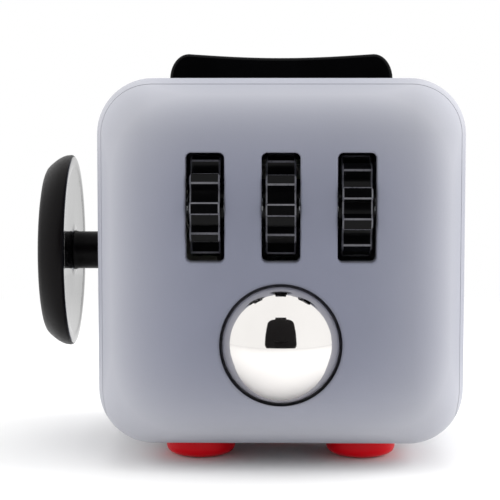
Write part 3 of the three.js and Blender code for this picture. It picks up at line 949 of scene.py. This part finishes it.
@dataclass
class WheelSet:
    """Three ridged wheels that show through the slots."""

    radius: float = 4.5
    root: float = 3.6
    teeth: int = 10
    width: float = 2.65
    hub: float = 1.9
    bore: float = 1.12
    hub_proud: float = 0.25
    chamfer: float = 0.14
    tip_bevel: float = 0.12
    phases: tuple[float, float, float] = (0.0, 0.05, 0.5)
    # Which bevels of the wheels get the painted highlights.
    glint_lean: Point = (0.3, 0.95)
    glint_depth: float = 0.13
    glint_slope: float = 0.93

    def outline(self, phase: float, inset: float) -> list[Point]:
        """Draws the toothed outline.

        Args:
            phase: how far the wheel has turned, in teeth.
            inset: how far the outline is drawn in.

        Returns:
            Its points.
        """
        pitch = 2 * math.pi / self.teeth
        tip, root = self.radius - inset, self.root - inset
        slim = inset / self.radius / pitch
        shoulder = tip - self.tip_bevel
        corners = [(-0.5, root), (-0.4, root), (-0.29 + slim, root), (-0.2 + slim, shoulder),
                   (-0.15 + slim, tip), (0.15 - slim, tip), (0.2 - slim, shoulder),
                   (0.29 - slim, root), (0.4, root)]
        turns = [((tooth + phase + share) * pitch, radius)
                 for tooth in range(self.teeth) for share, radius in corners]
        return [(radius * math.cos(a), radius * math.sin(a)) for a, radius in turns]

    def build(self) -> None:
        """Builds each wheel on the axle, with bevelled tooth ends and a hub."""
        axle = Place.of("wheel_axle").middle
        half = self.width / 2
        reach = half + self.hub_proud
        rings = [(self.chamfer, -half), (0.0, -half + self.chamfer), (0.0, half - self.chamfer),
                 (self.chamfer, half)]
        for number, phase in enumerate(self.phases, 1):
            node = f"toothed_wheel_{number}"
            piece = tapering(lambda inset, turn=phase: self.outline(turn, inset), rings)
            worked(piece, Work.JOIN, [rod(self.hub, *span(reach), 48)])
            worked(piece, Work.CUT, [rod(self.bore, *span(PAST), 48)])
            moved(piece, Heading.ACROSS, (Place.of(node).middle.x, axle.y, axle.z))
            dressed(piece, f"ridged_wheel_{number}", POLISHED_BLACK, f"wheel_{number}", "black_abs", node)
            self.paint_glints(piece, axle)

    def paint_glints(self, piece: bpy.types.Object, axle: Vector) -> None:
        """Gives the bevels round each ridge the pale finish of the painted highlights.

        A bevel is known by how far its face leans from the side of the wheel or from its rim.

        Args:
            piece: the finished wheel.
            axle: the axle's middle.
        """
        # Painted highlights: the bevels take a pale grey finish where their edges would catch the light.
        piece.data.materials.append(PAINTED_GLINT_BLACK.material())
        upright, flat = self.glint_lean
        for face in piece.data.polygons:
            out = (face.center - CENTRE) / MM - axle
            radius = math.hypot(out.y, out.z)
            sideways = abs(face.normal.x)
            radial = (face.normal.y * out.y + face.normal.z * out.z) / max(radius, WELD)
            on_side = upright < sideways < flat and radius > self.root - 2 * self.chamfer
            on_tip = (sideways < upright and radius > self.radius - self.glint_depth
                      and radial < self.glint_slope)
            face.material_index = int(on_side or on_tip)


@dataclass
class BallUnit:
    """The steel ball in the front face."""

    divisions: int = 24

    def build(self) -> None:
        """Builds the ball from a divided cube, so that its facets are even and have no poles."""
        at = Place.of("steel_ball")
        radius = at.size.z / 2
        bm = bmesh.new()
        bmesh.ops.create_cube(bm, size=2)
        bmesh.ops.subdivide_edges(bm, edges=bm.edges, cuts=self.divisions, use_grid_fill=True)
        for vertex in bm.verts:
            x, y, z = (math.tan(c * math.pi / 4) for c in vertex.co)
            vertex.co = Vector((x, y, z)).normalized() * radius
        piece = moved(mesh_of(bm), at=at.middle)
        dressed(piece, "polished_ball", CHROMED_STEEL, "ball", "chromed_steel", "steel_ball")


@dataclass
class Joystick:
    """The thumb stick on the left face."""

    radius: float = 9.2
    stem: float = 1.8
    foot_height: float = 9.4
    rounding: float = 0.32
    pin_bore: float = 0.72
    pin_reach: float = 4.0
    back_facing: float = 0.9

    def build(self) -> None:
        """Builds the dished cap and its stem."""
        cap = Place.of("joystick_cap")
        low, high = -cap.high.x, -cap.low.x
        thick = high - low
        profile = [
            (0, low), (2.4, low), (2.7, low + 0.08), (7.8, low + 0.08), (8.1, low),
            *arc((self.radius - self.rounding, low + self.rounding), self.rounding, -90, 0, 6),
            (9.16, low + 0.7), (9.04, low + 1.05), (8.86, low + 1.4), (8.6, low + 1.76), (8.3, low + 2.12),
            (8.0, low + 2.4), (7.7, low + 2.54), (7.4, low + thick), (7.1, low + thick - 0.02),
            (6.85, low + 2.44), (6.6, low + 2.2), (6.35, low + 2.0), (6.05, low + 1.9), (4.5, low + 1.85),
            (3, low + 1.82), (0, low + 1.8),
        ]
        piece = dressed(moved(turned(profile, 128), Heading.LEFT), "thumb_cap", SATIN_BLACK, "joystick",
                        "black_abs", "joystick_cap")
        piece.data.materials.append(MIRROR_BLACK.material())
        for face in piece.data.polygons:
            face.material_index = int(face.normal.x > self.back_facing)
        top = low - REST_GAP
        foot = self.foot_height
        stem = turned([
            (0, foot), (2.2, foot), (2.3, foot + 0.1), (2.3, foot + 0.6), (1.2, foot + 0.7), (1.2, 10.6),
            (self.stem, 10.8), (self.stem, top - 0.35), (self.stem + 0.1, top), (0, top),
        ], 64)
        pin = Place.of("gimbal_pin").middle
        bore = moved(rod(self.pin_bore, *span(self.pin_reach)), at=pin)
        worked(moved(stem, Heading.LEFT), Work.CUT, [bore])
        dressed(stem, "thumb_stem", SATIN_BLACK, "joystick", "black_abs", "joystick_stem")


@dataclass
class Dial:
    """The spinning dial in the back face, with its raised nub."""

    radius: float = 9.5
    dome: float = 1.8
    fall: float = 0.75
    nub_radius: float = 1.3
    nub: Point = (-3.0, -6.4)
    back: float = 14.6
    spindle: float = 2.4
    spindle_end: float = 11.7
    nub_height: float = 0.6
    nub_margin: Point = (0.01, 0.2)
    screw_bore: float = 0.75
    screw_span: Point = (11.0, 14.0)

    def height(self, radius: float) -> float:
        """The dome's height above the cube's centre at a radius."""
        return HALF + self.dome - self.fall * (radius / self.radius) ** 2

    def build(self) -> None:
        """Builds the domed disc and its nub as one moulding."""
        edge = [(self.radius, HALF + 0.5), (self.radius - 0.04, HALF + 0.68),
                (self.radius - 0.14, HALF + 0.86), (self.radius - 0.3, HALF + 1.0)]
        crown = [(r / 2, self.height(r / 2)) for r in range(18, 0, -1)]
        disc = turned([
            (0, self.spindle_end), (self.spindle, self.spindle_end), (self.spindle, self.back),
            (self.radius, self.back), *edge, *crown, (0, self.height(0)),
        ], 128)
        dome = self.height(math.hypot(*self.nub))
        top = dome + self.nub_height
        peak = turned([
            (0, HALF), (self.nub_radius, HALF), (self.nub_radius, top - 0.5),
            *arc((self.nub_radius - 0.4, top - 0.5), 0.4, 0, 75, 6), (0.5, top - 0.03), (0, top),
        ], 48)
        moved(disc, Heading.BACK)
        moved(peak, Heading.BACK, (self.nub[0], 0, self.nub[1]))
        worked(disc, Work.JOIN, [peak])
        worked(disc, Work.CUT, [moved(rod(self.screw_bore, *self.screw_span, 24), Heading.BACK)])
        dressed(disc, "spin_dial", PITTED_BLACK, "dial", "black_abs", "dial")
        disc.data.materials.append(GLOSSY_BLACK.material())
        outside, below = self.nub_margin
        for face in disc.data.polygons:
            at = (face.center - CENTRE) / MM
            beyond = math.hypot(at.x - self.nub[0], at.z - self.nub[1]) - self.nub_radius
            face.material_index = int(beyond < outside and at.y > dome - below)


@dataclass
class Rocker:
    """The rocker in the top face, with a hollow in its back and rounded noses."""

    nose: float = 1.75
    sag: float = 0.37
    low: float = 13.2
    edge: float = 0.32
    draft: float = 0.25
    lug: Point = (2.4, 3.4)
    pin_bore: float = 0.98
    pin_reach: float = 8.0
    well: float = 1.45
    well_span: Point = (9.0, 12.3)

    def side(self, half: float, top: float, inset: float) -> list[Point]:
        """Draws the rocker from the side.

        Args:
            half: half its length.
            top: height of its ends.
            inset: how far the outline is drawn in.

        Returns:
            Points as (along, height).
        """
        flat, end, high = half - self.nose, half - inset, top - inset
        rise = high - HALF
        nose = [(flat + (end - flat) * math.cos(a), HALF + rise * math.sin(a))
                for a in (math.radians(9 * i) for i in range(11))]
        back = [(flat * (1 - i / 12), high - self.sag * math.sin(math.pi * i / 24)) for i in range(1, 13)]
        right = [(end, self.low), *nose, *back]
        return [*right, *[(-x, z) for x, z in reversed(right[:-1])]]

    def build(self) -> None:
        """Builds the rocker with softened long edges, its lug and its pin bore."""
        at = Place.of("rocker")
        half, width, top = at.size.x / 2, at.size.y / 2, at.high.z
        steps = 5
        rings = []
        for side in (-1, 1):
            for i in range(steps + 1):
                turn = math.radians(90 * (i if side < 0 else steps - i) / steps)
                inset = self.edge * (1 - math.sin(turn))
                y = side * (width - self.edge * (1 - math.cos(turn)))
                rings.append([Vector((x, y * (1 - self.draft / width * max(0, z - HALF) / (top - HALF)), z))
                              for x, z in self.side(half, top, inset)])
        piece = loft(rings)
        pin = Place.of("rocker_pin").middle
        along, across = self.lug
        worked(piece, Work.JOIN, [block(span(along), span(across), (at.low.z, self.low + ROOT))])
        bore = rod(self.pin_bore, *span(self.pin_reach))
        worked(piece, Work.CUT, [moved(bore, Heading.BACK, (0, 0, pin.z)), rod(self.well, *self.well_span)])
        dressed(piece, "flip_rocker", POLISHED_BLACK, "rocker", "black_abs", "rocker")


@dataclass
class InnerParts:
    """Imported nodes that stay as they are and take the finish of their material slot."""

    def build(self) -> None:
        """Gives every node that is still shown its finish."""
        slots = {part["node"]: part["material_slot"] for part in frame["record"]["subparts"]}
        for name, piece in frame["nodes"].items():
            if piece.hide_render:
                continue
            piece.data.materials.clear()
            piece.data.materials.append(SLOT_FINISHES[slots[name]].material())
            LOG.info("%s: packed shape in %s", name, slots[name])


@dataclass
class Studio:
    """A pale floor, a soft white tent and the camera."""

    distance: float = 165.0
    rise: float = 15.2
    aim_x: float = -3.0
    field: float = 48.5
    sensor: float = 36.0
    front_light: float = 1.05
    back_light: float = 1.08
    box_power: float = 1.0
    right_share: float = 2.7
    light_span: Point = (-1.0, 0.6)
    floor_radius: float = 0.15
    floor_fade: Point = (0.03, 0.12)
    floor_mottle_mm: float = 40.0
    floor_tones: tuple[str, str] = ("#E9E9E9", "#EEEEEE")
    block_outline: tuple[float, float, float] = (150, 170, 30)
    block_depth: float = 60.0
    block_rise: float = 40.0
    block_back: float = 60.0
    hump: tuple[Point, Point, Point] = ((-34, 34), (4, 56), (110, 146))
    hood: tuple[Point, ...] = ((0, -10), (46, -10), (50, 4), (50, 90), (0, 90))

    def world(self) -> None:
        """Lights the scene almost evenly from all round, a little less from the front."""
        world = bpy.data.worlds.new("tent")
        bpy.context.scene.world = world
        world.use_nodes = True
        tree = world.node_tree
        tree.nodes.clear()
        way = add(tree, "ShaderNodeTexCoord")
        parts = add(tree, "ShaderNodeSeparateXYZ", links={"Vector": (way, "Generated")})
        level = add(tree, "ShaderNodeMapRange", {
            "From Min": self.light_span[0], "From Max": self.light_span[1],
            "To Min": self.front_light, "To Max": self.back_light,
        }, {"Value": (parts, "Y")})
        tent = add(tree, "ShaderNodeBackground", {"Color": (1, 1, 1, 1)}, {"Strength": (level, "Result")})
        white = add(tree, "ShaderNodeBackground", {"Strength": 1.0, "Color": (1, 1, 1, 1)})
        eye = add(tree, "ShaderNodeLightPath")
        both = add(tree, "ShaderNodeMixShader", links={
            "Fac": (eye, "Is Camera Ray"), 1: (tent, "Background"), 2: (white, "Background"),
        })
        add(tree, "ShaderNodeOutputWorld", links={"Surface": (both, "Shader")})

    def softbox(self, name: str, at: Sequence[float], size: float, power: float) -> None:
        """Adds a square soft light that faces the cube and stays out of its reflections.

        Args:
            name: its name.
            at: its place in metres.
            size: its width in metres.
            power: its power in watts.
        """
        data = bpy.data.lights.new(name, "AREA")
        data.shape = "SQUARE"
        data.size = size
        data.energy = power
        light = bpy.data.objects.new(name, data)
        light.visible_glossy = False
        light.location = at
        light.rotation_euler = (CENTRE - Vector(at)).to_track_quat("-Z", "Y").to_euler()
        bpy.context.scene.collection.objects.link(light)

    def floor(self) -> None:
        """Lays a pale floor that fades into the white around it."""
        piece = rod(self.floor_radius / MM, -2, 0, 96)
        piece.name = "pale_floor"
        piece.data.transform(Matrix.Scale(MM, 4))
        material = bpy.data.materials.new("pale_floor")
        material.use_nodes = True
        tree = material.node_tree
        tree.nodes.clear()
        place = add(tree, "ShaderNodeTexCoord")
        length = add(tree, "ShaderNodeVectorMath", {"operation": "LENGTH"}, {"Vector": (place, "Object")})
        fade = add(tree, "ShaderNodeMapRange", {
            "From Min": self.floor_fade[0], "From Max": self.floor_fade[1],
        }, {"Value": (length, "Value")})
        mottle = add(tree, "ShaderNodeTexNoise", {"Scale": per_metre(self.floor_mottle_mm)},
                     {"Vector": (place, "Object")})
        tone = add(tree, "ShaderNodeValToRGB", links={"Fac": (mottle, "Fac")})
        for element, shade in zip(tone.color_ramp.elements, self.floor_tones):
            element.color = linear(shade)
        matt = add(tree, "ShaderNodeBsdfDiffuse", links={"Color": (tone, "Color")})
        glow = add(tree, "ShaderNodeEmission", {"Strength": 1.0})
        both = add(tree, "ShaderNodeMixShader", links={
            "Fac": (fade, "Result"), 1: (matt, "BSDF"), 2: (glow, "Emission"),
        })
        add(tree, "ShaderNodeOutputMaterial", links={"Surface": (both, "Shader")})
        piece.data.materials.append(material)

    def camera(self) -> Vector:
        """Places the camera a little above the cube's middle.

        Returns:
            Where it stands, in metres.
        """
        aim = CENTRE + Vector((self.aim_x, 0, 0)) * MM
        level = math.sqrt(self.distance ** 2 - self.rise ** 2)
        at = CENTRE + Vector((0, -level, self.rise)) * MM
        data = bpy.data.cameras.new("camera")
        data.sensor_width = self.sensor
        data.lens = self.sensor * self.distance / self.field
        data.clip_start = 0.01
        camera = bpy.data.objects.new("camera", data)
        camera.location = at
        camera.rotation_euler = (aim - at).to_track_quat("-Z", "Y").to_euler()
        bpy.context.scene.collection.objects.link(camera)
        bpy.context.scene.camera = camera
        return at

    def dark_card(self, camera_at: Vector) -> None:
        """Hangs a dark block by the camera, out of its sight, for the ball to mirror.

        Args:
            camera_at: where the camera stands.
        """
        middle = (0, 0, self.block_rise)
        body = moved(prism(outline_rectangle(*self.block_outline), 0, self.block_depth), Heading.BACK, middle)
        hood = moved(turned(self.hood, 48), Heading.BACK, middle)
        worked(body, Work.JOIN, [block(*self.hump), hood])
        body.name = "dark_block"
        at = camera_at - Vector((0, self.block_back, 0)) * MM
        body.data.transform(Matrix.Translation(at) @ Matrix.Scale(MM, 4))
        body.data.materials.append(SATIN_BLACK.material())
        body.visible_camera = False
        body.visible_shadow = False
        body.visible_diffuse = False

    def build(self) -> None:
        """Sets the view transform and builds the whole studio."""
        bpy.context.scene.view_settings.view_transform = "Standard"
        self.world()
        self.softbox("left_box", (-0.5, 0.05, 0.25), 0.45, self.box_power)
        self.softbox("right_box", (0.5, 0.05, 0.25), 0.45, self.box_power * self.right_share)
        self.softbox("top_box", (0.0, 0.1, 0.6), 0.5, self.box_power)
        self.floor()
        self.dark_card(self.camera())


def main() -> None:
    """Builds the studio and each sub-assembly in order."""
    logging.basicConfig(level=logging.INFO, format="%(message)s")
    Studio().build()
    shell = ShellMouldings()
    shell.main_shell()
    shell.cover()
    ButtonSet().build()
    ButtonSprings().build()
    WheelSet().build()
    BallUnit().build()
    Joystick().build()
    Dial().build()
    Rocker().build()
    InnerParts().build()


if __name__ == "__main__":
    main()
